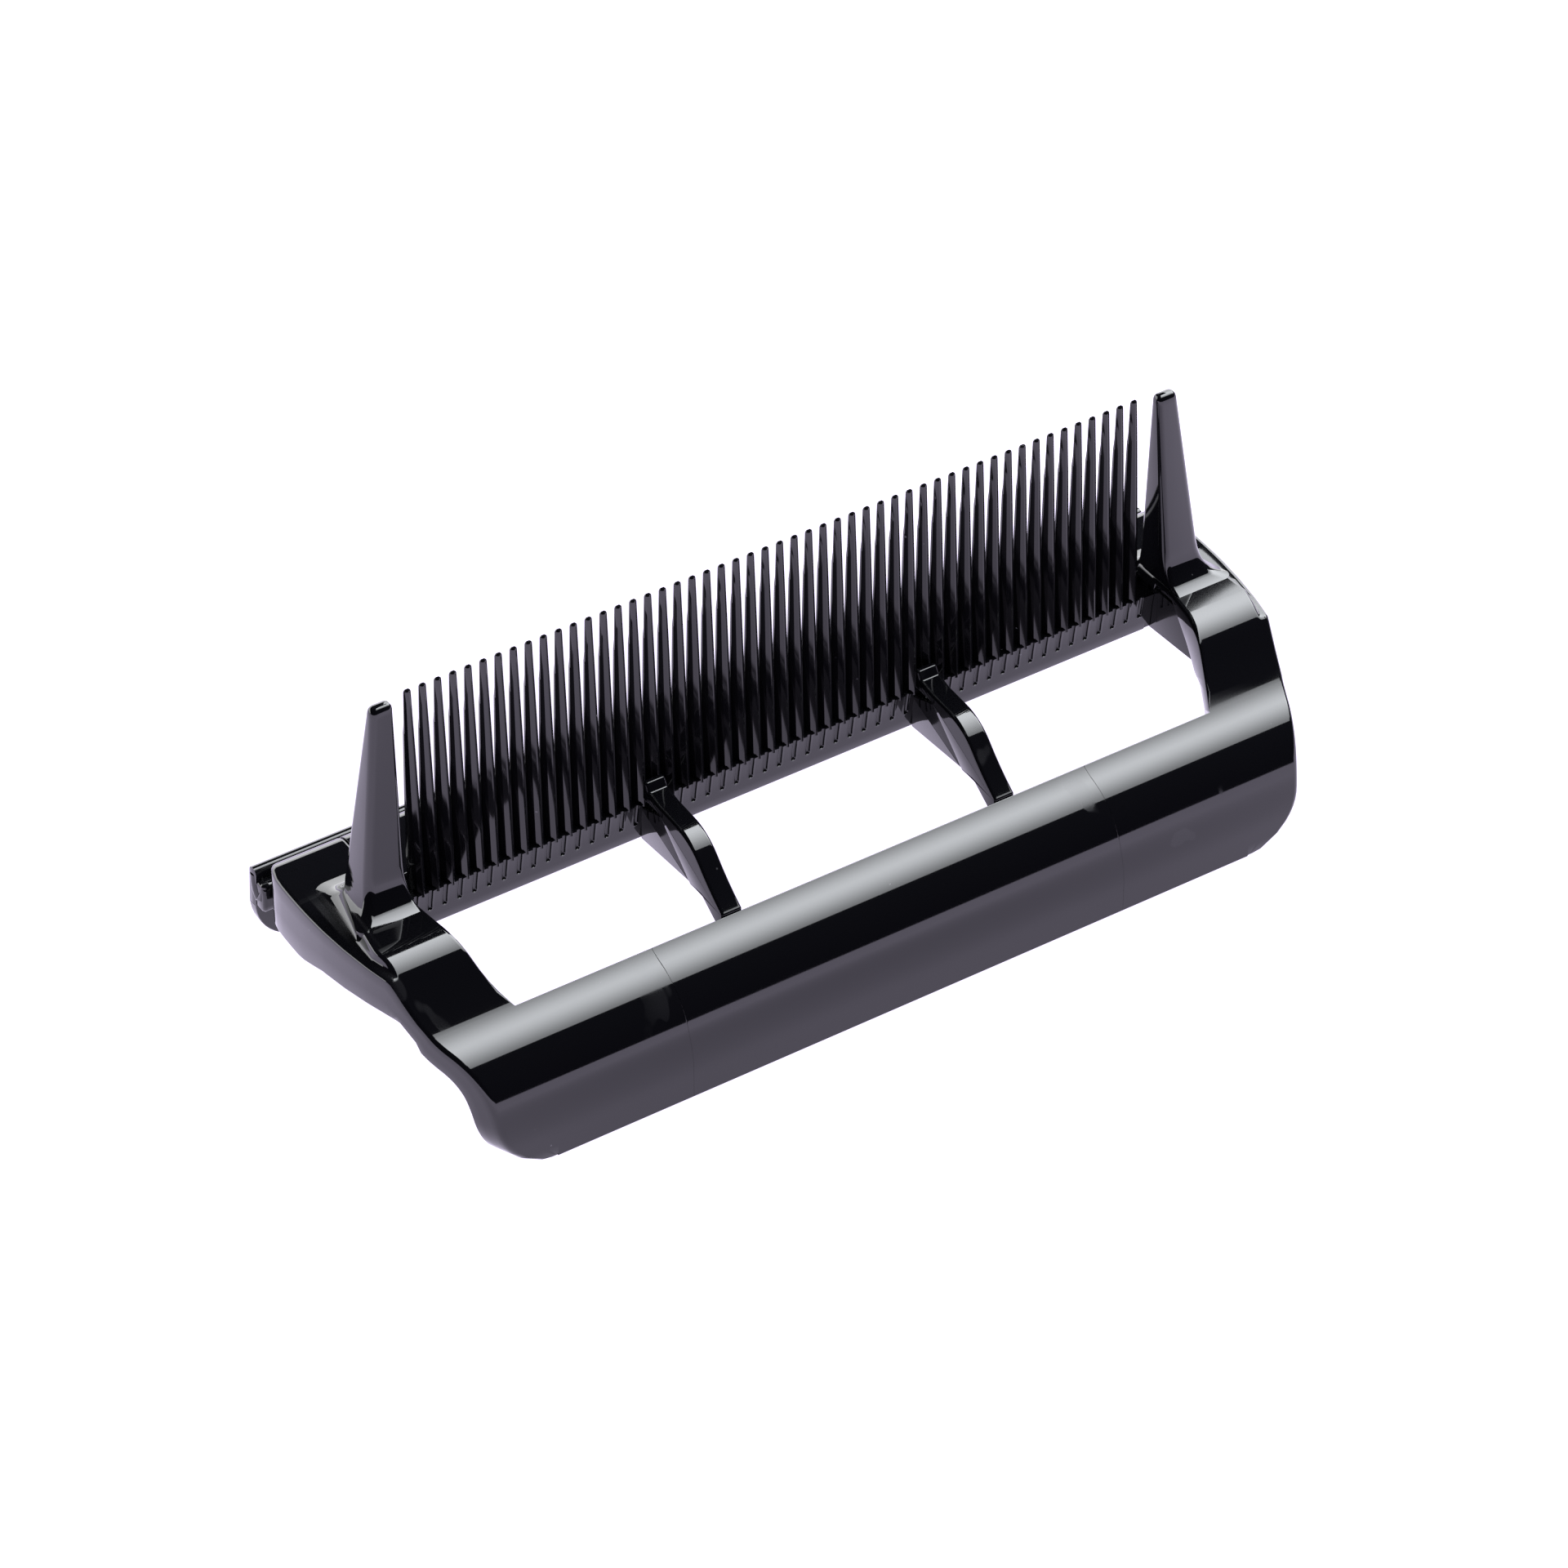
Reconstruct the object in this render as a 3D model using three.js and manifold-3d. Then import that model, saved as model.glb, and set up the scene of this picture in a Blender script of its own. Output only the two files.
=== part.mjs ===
// Clip-on comb guide for a hair clipper, in millimetres, +Z up.
// X runs along the row of teeth, the teeth point up, -Y is the side of the grip bar.
import * as THREE from 'three';
import { mergeVertices } from 'three/addons/utils/BufferGeometryUtils.js';
import Module from 'manifold-3d';

const wasm = await Module();
wasm.setup();

// ---------------------------------------------------------------- driving sizes
const overallLength = 101.6; // across the fullest part of the two end frames
const archTop = 18.6; // top of the arms and struts above the foot of the grip bar
const deckTop = 17.3; // top of the deck and of the flat outer ends
const partGap = 0.3; // clearance between neighbouring pieces

// comb
const toothCount = 51;
const toothPitch = 1.6;
const toothLength = 23.2; // from the root shelf to the tip
const toothTipWidth = 0.68;
const toothRootWidth = 1.28;
const toothTipDepth = 0.5;
const toothRootDepth = 1.95;
const plateThickness = 2.2;
const plateHeight = 4.6; // from the lower edge of the plate to the root shelf
const plateEdge = 12.2; // lower edge of the plate above the foot
const plateSetback = 0.6; // the plate lies behind the tooth fronts by this much
const shelfHeight = 0.7; // the ledge that carries the tooth roots

// deck behind the comb, and the hook rail that clips over the tool
const deckWall = 2.2;
const deckDepth = 10.4; // from the middle of the tips to the back of the deck flange
const deckRoll = 1.9; // outside radius of its rear edge
const flangeWall = 1.5;
const flangeDrop = 3.4; // how far the rear flange reaches below the deck top
const hookSlot = 1.4; // clear width between the flange and the lip
const lipWall = 1.25; // thickness of the lip and of the wall that hangs from it
const lipTop = 14.9; // top of the lip above the foot
const hookFoot = 4.5; // lower edge of the hanging wall above the foot
const hookLean = 0.7; // how far the wall leans out, from the lip to its lower edge
const hookCorner = 6.1; // its lower corners
const saddleDepth = 3.3; // height of the saddle that joins the wall to the deck flange
const saddleRound = 1.2;
const hookGap = 0.45; // room in front of the saddle, so that it can flex

// grip bar and arms: one wall that runs from the deck down in an S
const shellWall = 2.8;
const hump = { radius: 5.9, turn: 47 };
const slope = { radius: 24, turn: -12 };
const hollow = { radius: 7, turn: -17 };
const shoulderRun = 0.45;
const brow = { radius: 6.7, turn: 48 };
const face = { radius: 14, turn: 26 };
const deckRun = 7.1; // flat top in front of the tooth tips
const footHeight = 0; // height of the lower edge of the bar
const barOverlap = 1.9; // how far the bar reaches back under the end of the hollow
const barSeam = 24.2; // where the bar is split, from the middle
const cornerRadius = 5.8; // lower corners of the bar

// end frames
const armWidth = 8.5; // deck end, and the arm where it leaves the comb
const armFlare = 3.4; // how far the arm widens inwards towards the bar
const armHandles = [0.52, 0.76]; // where its inner edge bends, as shares of the way to the bar
const humpSide = 1.8; // the flat outer end is this wide beside the raised arm
const humpRear = 1.6; // the raised arm reaches this far behind the middle of the tips
const rearInset = 0.4; // the rear corner stands in from the fullest part
const frontInset = 6.2; // the outline draws in this much at the front of the bar
const outlineHandles = [
  { out: 0.9, along: 0.42 }, { out: -1.2, along: 0.7 },
]; // pulls on the curved outer edge: beyond the fullest part, and along the depth
const cheekWall = 2.6;
const cheekDepth = 6.5; // height of the cheek at the rear
const cheekRear = 2.9; // its lower edge runs level behind this place
const cheekCorner = 2.2; // its rear lower corner is cut back over this length
const cheekOverhang = 0.3; // below the lower edge of the comb plate
const sideRise = 0.6; // share of the deck height where the outer side reaches full length
const tine = {
  height: 40, tipWidth: 2.2, tipDepth: 1.5, tipForward: 0.45, tipShift: 0.25,
  baseWidth: 3.7, baseDepth: 3.9, baseForward: 0.7,
};

// struts between the comb and the bar, with a web below each
const strutOffset = 15.26; // centre of each strut from the middle
const strutWidth = 2.25;
const webWidth = 1.8;
const pad = { rise: 1.2, step: 0.4, top: 0.6, run: 1.1, clear: 2 }; // the strut's end at the teeth
const ribWall = 1; // strut thickness at the comb
const ribLevel = 3; // its underside runs level over this length
const elbow = { drop: 5.7, setback: 1.1, flat: 0.5, length: 1.4, rise: 0.15 };
const heel = { setback: 3.6, drop: 1 }; // where the underside turns into the bar
const webTop = 1.5; // the web meets the comb this much below the root shelf
const webGap = 0.42; // clearance along the rib's slope

const arcStep = THREE.MathUtils.degToRad(9);
const beyond = 5; // how far cutting solids reach past what they cut

// ---------------------------------------------------------------- worked out
const halfLength = overallLength / 2;
const armInner = halfLength - armWidth;
const shelfTop = plateEdge + plateHeight;
const toothTop = shelfTop + toothLength;
const toothBack = toothRootDepth / 4;
const toothFrontRoot = toothBack - toothRootDepth;
const plateFront = toothFrontRoot + plateSetback;
const plateBack = plateFront + plateThickness;
const plateHalf = armInner - partGap;

// The top line of the wall as points (y, z) and downward slopes, from the comb to the foot.
const topLine = walk(new THREE.Vector2(toothFrontRoot, archTop), [
  { run: deckRun + toothFrontRoot },
  hump, slope, hollow, { run: shoulderRun }, brow, face,
]);
const hollowEnd = topLine.marks[3];
const barRear = topLine.marks[4].x + barOverlap;
const elbowFront = topLine.marks[1].x + elbow.setback;
topLine.points.push(new THREE.Vector2(topLine.marks[6].x, footHeight));
topLine.slopes.push(Math.PI / 2);
const barFront = topLine.marks[6].x;

// Follows straight runs and arcs, with the slope measured downwards from -Y.
function walk(start, steps) {
  const points = [start.clone()];
  const slopes = [0];
  const marks = [];
  let slope = 0;
  const here = start.clone();
  for (const step of steps) {
    if (step.run !== undefined) {
      here.x -= step.run * Math.cos(slope);
      here.y -= step.run * Math.sin(slope);
      points.push(here.clone());
      slopes.push(slope);
    } else {
      const turn = THREE.MathUtils.degToRad(step.turn);
      const count = Math.max(2, Math.ceil(Math.abs(turn) / arcStep));
      const chord = 2 * step.radius * Math.sin(Math.abs(turn) / count / 2);
      for (let i = 0; i < count; i += 1) {
        const mid = slope + turn / count / 2;
        here.x -= chord * Math.cos(mid);
        here.y -= chord * Math.sin(mid);
        slope += turn / count;
        points.push(here.clone());
        slopes.push(slope);
      }
    }
    marks.push(here.clone());
  }
  return { points, slopes, marks };
}

// The same line moved into the wall by a distance, square to the slope.
function inset(line, distance) {
  return line.points.map((point, i) => new THREE.Vector2(
    point.x + distance * Math.sin(line.slopes[i]),
    point.y - distance * Math.cos(line.slopes[i]),
  ));
}

// ---------------------------------------------------------------- solids
function solid(geometry) {
  const bare = geometry.index ? geometry.toNonIndexed() : geometry.clone();
  bare.deleteAttribute('normal');
  bare.deleteAttribute('uv');
  const merged = mergeVertices(bare, 1e-5);
  return new wasm.Manifold(new wasm.Mesh({
    numProp: 3,
    vertProperties: Float32Array.from(merged.attributes.position.array),
    triVerts: Uint32Array.from(merged.index.array),
  }));
}

function mesh(name, body, material) {
  const { vertProperties, triVerts } = body.getMesh();
  const geometry = new THREE.BufferGeometry();
  geometry.setAttribute('position', new THREE.BufferAttribute(new Float32Array(vertProperties), 3));
  geometry.setIndex(Array.from(triVerts));
  geometry.computeVertexNormals();
  const made = new THREE.Mesh(geometry, material);
  made.name = name;
  return made;
}

function extrude(points, depth) {
  return new THREE.ExtrudeGeometry(new THREE.Shape(points), { depth, bevelEnabled: false });
}

// A section in (y, z) carried along X.
function alongX(points, from, to) {
  const low = Math.min(from, to);
  const basis = new THREE.Matrix4().makeBasis(
    new THREE.Vector3(0, 1, 0), new THREE.Vector3(0, 0, 1), new THREE.Vector3(1, 0, 0),
  );
  return solid(extrude(points, Math.abs(to - from)).applyMatrix4(basis).translate(low, 0, 0));
}

// A plan in (x, y) carried along Z.
function alongZ(points, from, to) {
  return solid(extrude(points, to - from).translate(0, 0, from));
}

// An elevation in (x, z) carried along Y.
function alongY(points, from, to) {
  return solid(extrude(points, to - from).rotateX(Math.PI / 2).translate(0, to, 0));
}

// A block whose lower and upper rectangles differ.
function taper(base, tip) {
  const geometry = new THREE.BoxGeometry(2, 2, 2);
  const position = geometry.attributes.position;
  for (let i = 0; i < position.count; i += 1) {
    const end = position.getZ(i) > 0 ? tip : base;
    const x = end.x + position.getX(i) * end.width / 2;
    const y = end.y + position.getY(i) * end.depth / 2;
    position.setXYZ(i, x, y, end.z);
  }
  return solid(geometry);
}

function arc(centre, radius, fromDegrees, toDegrees) {
  const turn = THREE.MathUtils.degToRad(toDegrees - fromDegrees);
  const count = Math.max(2, Math.ceil(Math.abs(turn) / (2 * arcStep)));
  const points = [];
  for (let i = 0; i <= count; i += 1) {
    const angle = THREE.MathUtils.degToRad(fromDegrees) + turn * i / count;
    points.push(new THREE.Vector2(
      centre.x + radius * Math.cos(angle),
      centre.y + radius * Math.sin(angle),
    ));
  }
  return points;
}

const at = (x, y) => new THREE.Vector2(x, y);
const mirrored = (points, side) => points.map((point) => at(point.x * side, point.y));

// ---------------------------------------------------------------- outlines
// Outer edge of an end seen from above, from the rear to the bar.
function outerEdge() {
  const depth = deckDepth - barFront;
  const [rear, front] = outlineHandles;
  const points = new THREE.CubicBezierCurve(
    at(-rearInset, deckDepth),
    at(rear.out, deckDepth - depth * rear.along),
    at(front.out, deckDepth - depth * front.along),
    at(-frontInset, barFront),
  ).getPoints(12);
  const fullest = Math.max(...points.map((point) => point.x));
  return points.map((point) => at(halfLength + point.x - fullest, point.y));
}

// Inner edge of an arm seen from above, from the comb to the bar.
function innerEdge() {
  const [rear, front] = armHandles;
  return new THREE.CubicBezierCurve(
    at(armInner, plateFront),
    at(armInner, barRear * rear),
    at(armInner - armFlare / 2, barRear * front),
    at(armInner - armFlare, barRear),
  ).getPoints(8);
}

// One end of the part seen from above, arm and bar end included.
function endPlan(side) {
  const edge = outerEdge();
  const outline = [
    at(barSeam + partGap / 2, barFront - beyond),
    at(barSeam + partGap / 2, barRear),
    ...innerEdge().reverse(),
    at(armInner, deckDepth + beyond),
    at(edge[0].x, deckDepth + beyond),
    ...edge,
    at(edge.at(-1).x, barFront - beyond),
  ];
  return alongZ(mirrored(outline, side), -beyond, archTop + beyond);
}

// Front view of one end, which rounds the lower corner of the bar.
function endElevation(side) {
  const right = halfLength - frontInset;
  const corner = arc(at(right - cornerRadius, footHeight + cornerRadius), cornerRadius, -90, 0);
  const outline = [
    at(0, footHeight),
    ...corner,
    at(right, cornerRadius + shellWall),
    at(halfLength + beyond, archTop * sideRise),
    at(halfLength + beyond, archTop + beyond),
    at(0, archTop + beyond),
  ];
  return alongY(mirrored(outline, side), barFront - beyond, deckDepth + beyond);
}

// Rear edge of the deck with its flange, as points (y, z) from the flat top downwards.
function deckRear() {
  const back = deckDepth;
  const foot = deckTop - flangeDrop;
  return [
    ...arc(at(back - deckRoll, deckTop - deckRoll), deckRoll, 90, 0),
    at(back, foot),
    at(back - flangeWall, foot),
    at(back - flangeWall, deckTop - deckWall),
  ];
}

// ---------------------------------------------------------------- pieces
function comb() {
  const section = [
    at(plateFront, plateEdge),
    at(plateBack, plateEdge),
    at(plateBack, shelfTop),
    at(toothFrontRoot, shelfTop),
    at(toothFrontRoot, shelfTop - shelfHeight),
    at(plateFront, shelfTop - shelfHeight * 2),
  ];
  let body = alongX(section, -plateHalf, plateHalf);
  for (let i = 0; i < toothCount; i += 1) {
    const x = (i - (toothCount - 1) / 2) * toothPitch;
    const base = {
      x, y: toothBack - toothRootDepth / 2, z: shelfTop - shelfHeight / 2,
      width: toothRootWidth, depth: toothRootDepth,
    };
    const tip = { x, y: 0, z: toothTop, width: toothTipWidth, depth: toothTipDepth };
    body = body.add(taper(base, tip));
  }
  return body;
}

function rearDeck() {
  const section = [
    at(plateBack + partGap, deckTop - deckWall),
    at(plateBack + partGap, deckTop),
    ...deckRear(),
  ];
  return alongX(section, -plateHalf, plateHalf);
}

// The lip with the wall that hangs from it, and the saddle below the slot, as one springy rail.
function hookRail() {
  const inner = deckDepth + hookSlot;
  const saddleTop = deckTop - flangeDrop - partGap;
  const saddleFoot = saddleTop - saddleDepth;
  const lean = (height) => hookLean * (lipTop - height) / (lipTop - hookFoot);
  const wall = [
    ...arc(at(inner + lipWall / 2, lipTop - lipWall / 2), lipWall / 2, 180, 0),
    at(inner + lipWall + hookLean, hookFoot),
    at(inner + hookLean, hookFoot),
  ];
  const saddle = (front) => [
    at(front, saddleTop), at(front, saddleFoot + saddleRound), at(front + saddleRound, saddleFoot),
    at(inner + lean(saddleFoot) + lipWall / 2, saddleFoot),
    at(inner + lean(saddleTop) + lipWall / 2, saddleTop),
  ];
  const reach = outerEdge()[0].x;
  const tongue = halfLength - cheekWall - partGap;
  const body = alongX(wall, -reach, reach)
    .add(alongX(saddle(deckDepth + partGap), -reach, reach))
    .add(alongX(saddle(deckDepth - flangeWall + hookGap), -tongue, tongue));
  const corner = arc(at(reach - hookCorner, hookFoot + hookCorner), hookCorner, -90, 0);
  const shape = [...corner, at(reach, lipTop + beyond)];
  const elevation = [...shape, ...mirrored(shape, -1).reverse()];
  return body.intersect(alongY(elevation, 0, deckDepth + 2 * beyond));
}

// Section of the bar, from its rear edge down to the foot.
function barSection() {
  const outside = topLine.points.filter((point) => point.x <= barRear + 0.01);
  const inside = inset(topLine, shellWall).filter((point) => point.x <= barRear && point.y > footHeight);
  const start = heightOn(topLine.points, barRear);
  const under = heightOn(inset(topLine, shellWall), barRear);
  return [
    at(barRear, under), at(barRear, start), ...outside,
    at(barFront + shellWall, footHeight),
    ...inside.reverse(),
  ];
}

// Height of a line of points at a given y.
function heightOn(points, y) {
  for (let i = 1; i < points.length; i += 1) {
    const [a, b] = [points[i - 1], points[i]];
    if (a.x >= y && b.x <= y && a.x > b.x) {
      return a.y + (b.y - a.y) * (a.x - y) / (a.x - b.x);
    }
  }
  return points.at(-1).y;
}

function gripBar() {
  const half = barSeam - partGap / 2;
  return alongX(barSection(), -half, half);
}

// Lower edge of the struts and arms between the comb and the bar, front to rear.
function ribUnderside(rear) {
  const under = heightOn(inset(topLine, shellWall), barRear);
  const elbowHeight = archTop - elbow.drop;
  return [
    at(barRear, under),
    at(hollowEnd.x + heel.setback, elbowHeight - heel.drop),
    at(elbowFront - elbow.length, elbowHeight + elbow.rise),
    at(elbowFront, elbowHeight),
    at(elbowFront + elbow.flat, elbowHeight),
    at(toothFrontRoot - ribLevel, archTop - ribWall),
    at(rear, archTop - ribWall),
  ];
}

function strut(side) {
  const rear = toothFrontRoot - partGap;
  const front = barRear + partGap;
  const outline = [
    at(rear, archTop + pad.rise),
    at(rear - pad.top, archTop + pad.rise),
    at(rear - pad.run, archTop + pad.step),
    ...topLine.points.filter((point) => point.x < rear - pad.clear && point.x > front),
    at(front, heightOn(topLine.points, front)),
    at(front, heightOn(inset(topLine, shellWall), barRear)),
    ...ribUnderside(rear).slice(1),
  ];
  const middle = strutOffset * side;
  return alongX(outline, middle - strutWidth / 2, middle + strutWidth / 2);
}

// The triangle below a rib, between its sloping underside and the lower edge.
function webOutline() {
  const [, , , , knee, start] = ribUnderside(plateFront);
  return [
    at(plateFront - partGap, shelfTop - webTop),
    at(start.x, start.y - webGap),
    at(knee.x + webGap, knee.y),
    at(plateFront - partGap, plateEdge),
  ];
}

function strutWeb(side) {
  const middle = strutOffset * side;
  return alongX(webOutline(), middle - webWidth / 2, middle + webWidth / 2);
}

function endGusset(side) {
  const from = (armInner + partGap) * side;
  return alongX(webOutline(), from, from + webWidth * side);
}

// Side wall of an end: full height from the deck to the lower edge of the cheek.
function cheekSection() {
  const low = deckTop - cheekDepth;
  return [
    ...topLine.points.filter((point) => point.x >= elbowFront),
    at(elbowFront, archTop - elbow.drop),
    at(plateFront, plateEdge - cheekOverhang),
    at(cheekRear, low),
    at(deckDepth - cheekCorner, low),
    at(deckDepth, low + cheekCorner / 2),
    ...arc(at(deckDepth - deckRoll, deckTop - deckRoll), deckRoll, 0, 90),
  ];
}

// Everything at one end: flat deck, raised arm, cheek, end of the bar and tine.
function endFrame(side) {
  const deckUnder = deckTop - deckWall;
  const deck = [at(plateFront, deckUnder), at(plateFront, deckTop), ...deckRear()];
  const arm = [
    ...topLine.points,
    at(barFront + shellWall, footHeight),
    ...inset(topLine, shellWall).filter((p) => p.x < barRear && p.y > footHeight).reverse(),
    ...ribUnderside(toothFrontRoot),
  ];
  const raised = [
    at(toothFrontRoot - ribWall, archTop - ribWall), at(plateFront, archTop - ribWall),
    at(plateFront, deckUnder), at(humpRear, deckUnder),
    at(humpRear, archTop), at(toothFrontRoot - ribWall, archTop),
  ];
  const above = [
    at(barFront - beyond, deckTop), at(deckDepth + beyond, deckTop),
    at(deckDepth + beyond, archTop + beyond), at(barFront - beyond, archTop + beyond),
  ];
  const outer = (halfLength + beyond) * side;
  let body = alongX(deck, armInner * side, outer);
  body = body.add(alongX(arm, barSeam * side, outer));
  body = body.add(alongX(raised, armInner * side, outer));
  body = body.add(alongX(cheekSection(), (halfLength - cheekWall) * side, outer));
  body = body.subtract(alongX(above, (halfLength - humpSide) * side, outer + side));
  body = body.intersect(endPlan(side)).intersect(endElevation(side));
  const baseX = armInner + tine.baseWidth / 2;
  const tipX = armInner - tine.tipShift + tine.tipWidth / 2;
  const root = {
    x: baseX * side,
    y: toothFrontRoot - tine.baseForward + tine.baseDepth / 2,
    z: archTop - deckWall / 2,
    width: tine.baseWidth,
    depth: tine.baseDepth,
  };
  const tip = {
    x: tipX * side, y: -tine.tipForward, z: tine.height, width: tine.tipWidth, depth: tine.tipDepth,
  };
  return body.add(taper(root, tip));
}

// ---------------------------------------------------------------- assembly
function plastic(hex, roughness) {
  return new THREE.MeshStandardMaterial({ color: hex, roughness, metalness: 0 });
}

const part = new THREE.Group();
part.add(mesh('comb_strip', comb(), plastic(0x08080a, 0.12)));
part.add(mesh('rear_deck', rearDeck(), plastic(0x0a0a0d, 0.12)));
part.add(mesh('hook_rail', hookRail(), plastic(0x0c0c10, 0.14)));
part.add(mesh('grip_bar', gripBar(), plastic(0x0a0a0c, 0.1)));
for (const [label, side] of [['left', -1], ['right', 1]]) {
  part.add(mesh(`${label}_end_frame`, endFrame(side), plastic(0x0a0a0c, 0.1)));
  part.add(mesh(`${label}_end_gusset`, endGusset(side), plastic(0x0c0c10, 0.14)));
  part.add(mesh(`${label}_strut`, strut(side), plastic(0x0a0a0c, 0.12)));
  part.add(mesh(`${label}_strut_web`, strutWeb(side), plastic(0x0c0c10, 0.14)));
}

// The origin is the middle of the underside of the whole part.
const bounds = new THREE.Box3().setFromObject(part);
part.position.set(
  -(bounds.min.x + bounds.max.x) / 2, -(bounds.min.y + bounds.max.y) / 2, -bounds.min.z,
);

export default part;
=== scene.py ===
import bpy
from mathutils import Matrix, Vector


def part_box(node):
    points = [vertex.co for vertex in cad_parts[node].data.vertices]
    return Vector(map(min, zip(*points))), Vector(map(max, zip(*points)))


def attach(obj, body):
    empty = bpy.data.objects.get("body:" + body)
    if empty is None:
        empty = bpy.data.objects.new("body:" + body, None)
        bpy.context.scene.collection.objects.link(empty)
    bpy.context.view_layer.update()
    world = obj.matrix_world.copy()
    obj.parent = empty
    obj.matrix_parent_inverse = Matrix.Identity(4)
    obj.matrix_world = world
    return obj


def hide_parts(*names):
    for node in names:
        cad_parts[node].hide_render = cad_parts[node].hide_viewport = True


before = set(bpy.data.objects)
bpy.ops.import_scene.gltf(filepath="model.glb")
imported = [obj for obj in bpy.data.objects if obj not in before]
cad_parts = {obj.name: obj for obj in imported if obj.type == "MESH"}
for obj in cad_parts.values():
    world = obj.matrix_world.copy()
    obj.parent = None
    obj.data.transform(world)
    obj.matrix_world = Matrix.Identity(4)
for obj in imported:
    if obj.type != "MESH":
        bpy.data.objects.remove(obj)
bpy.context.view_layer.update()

import math

import bmesh
import bpy
import numpy as np
from mathutils import Matrix, Vector

# Sizes are in millimetres, in a frame whose Y is 0 at the row of tooth tips, as on a drawing.
MM = 0.001

# comb
TOOTH_COUNT = 51
TOOTH_PITCH = 1.6
TOOTH_TOP = 40.0
TOOTH_WIDTHS = ((0.0, 0.3, 0.6, 0.8, 1.0), (1.52, 1.46, 1.28, 1.06, 0.78))  # by share of the height
TOOTH_TIP_DEPTH = 0.5
TOOTH_ROOT_DEPTH = 1.95
TOOTH_LAND = 0.06  # half width of the narrow flat along its front
TOOTH_KINK = 4.4  # below the tip, where the rear rib of a tooth steps in
PLATE_THICKNESS = 2.2
PLATE_EDGE = 12.2
SHELF_TOP = 16.8
PLATE_SETBACK = 0.6
GROOVE_WIDTH = 0.46
GROOVE_LENGTH = 2.6
GROOVE_DEPTH = 0.2

# deck and hook rail
ARCH_TOP = 18.6
DECK_TOP = 17.3
DECK_WALL = 2.2
DECK_DEPTH = 10.4
DECK_ROLL = 1.9
FLANGE_WALL = 1.5
FLANGE_DROP = 3.4
HOOK_SLOT = 1.4
LIP_WALL = 1.25
LIP_TOP = 14.9
HOOK_FOOT = 4.5
HOOK_LEAN = 0.7
HOOK_CORNER = 6.1
SADDLE_DEPTH = 3.3
SADDLE_ROUND = 1.4

# bar, arms and struts
SHELL_WALL = 2.8
CROWN_RISE = 0.08  # the arm's top is very slightly crowned
TOP_STEPS = (
    ("turn", 95, 3.6), ("turn", 5.9, 43.4), ("turn", 24, -12), ("turn", 7, -17),
    ("run", 0.45), ("turn", 6.7, 48), ("turn", 14, 26),
)
BAR_OVERLAP = 1.9
BAR_SEAM = 24.2
BAR_CORNER = 5.8
SEAM_GAP = 0.003  # half of the hairline between two pieces
SEAM_EASE = 0.02
FLAT_HOLD = 0.05  # a face is held flat from this close to its rounded edge
HALF_LENGTH = 50.8
ARM_WIDTH = 8.5
ARM_FLARE = 3.4
ARM_HANDLES = (0.52, 0.76)
HUMP_SIDE = 1.8
HUMP_REAR = 1.6
REAR_INSET = 0.4
REAR_CORNER = 3.6
REAR_SQUASH = 0.5
FRONT_INSET = 6.2
OUTLINE_HANDLES = ((0.9, 0.42), (-1.2, 0.7))
CHEEK_WALL = 2.6
CHEEK_LOW = 10.8
STRUT_OFFSET = 15.26
STRUT_WIDTH = 2.25
WEB_WIDTH = 1.8
RIB_WALL = 1.0
RIB_LEVEL = 3.0
ELBOW_HEIGHT = 12.9

# ------------------------------------------------------------------ outlines
def arc(centre, radius, start, end, steps=8):
    """Points on a circle between two angles in degrees."""
    angles = np.radians(np.linspace(start, end, steps + 1))
    return [(centre[0] + radius * math.cos(a), centre[1] + radius * math.sin(a)) for a in angles]


def walk(start, steps, fine=3.0):
    """Follows straight runs and turns towards -Y; the slope is measured downwards."""
    here, slope = np.array(start, float), 0.0
    points, slopes, marks = [here.copy()], [0.0], []
    for kind, size, *turn in steps:
        count = max(2, round(abs(turn[0]) / fine)) if turn else 4
        bend = math.radians(turn[0]) / count if turn else 0.0
        stride = 2 * size * math.sin(abs(bend) / 2) if turn else size / count
        for _ in range(count):
            middle = slope + bend / 2
            here = here - stride * np.array((math.cos(middle), math.sin(middle)))
            slope += bend
            points.append(here)
            slopes.append(slope)
        marks.append(here)
    return points, slopes, marks


def inset_point(point, slope, distance):
    """A point of the top line moved into the wall."""
    return (point[0] + distance * math.sin(slope), point[1] - distance * math.cos(slope))


def rounded(points, radius, steps=4):
    """A closed outline with its sharp corners eased."""
    eased = []
    count = len(points)
    for i in range(count):
        before, here, after = (np.array(points[(i + k) % count], float) for k in (-1, 0, 1))
        back, on = before - here, after - here
        reach_back, reach_on = np.linalg.norm(back), np.linalg.norm(on)
        back, on = back / reach_back, on / reach_on
        turn = math.acos(float(np.clip(-(back @ on), -1, 1)))
        if turn < math.radians(20):
            eased.append(tuple(here))
            continue
        cut = min(radius * math.tan(turn / 2), 0.45 * reach_back, 0.45 * reach_on)
        eased.append(tuple(here + back * min(cut + FLAT_HOLD, 0.48 * reach_back)))
        for t in np.linspace(0, 1, steps + 1):
            eased.append(tuple(here + back * cut * (1 - t) ** 2 + on * cut * t ** 2))
        eased.append(tuple(here + on * min(cut + FLAT_HOLD, 0.48 * reach_on)))
    return eased


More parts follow.
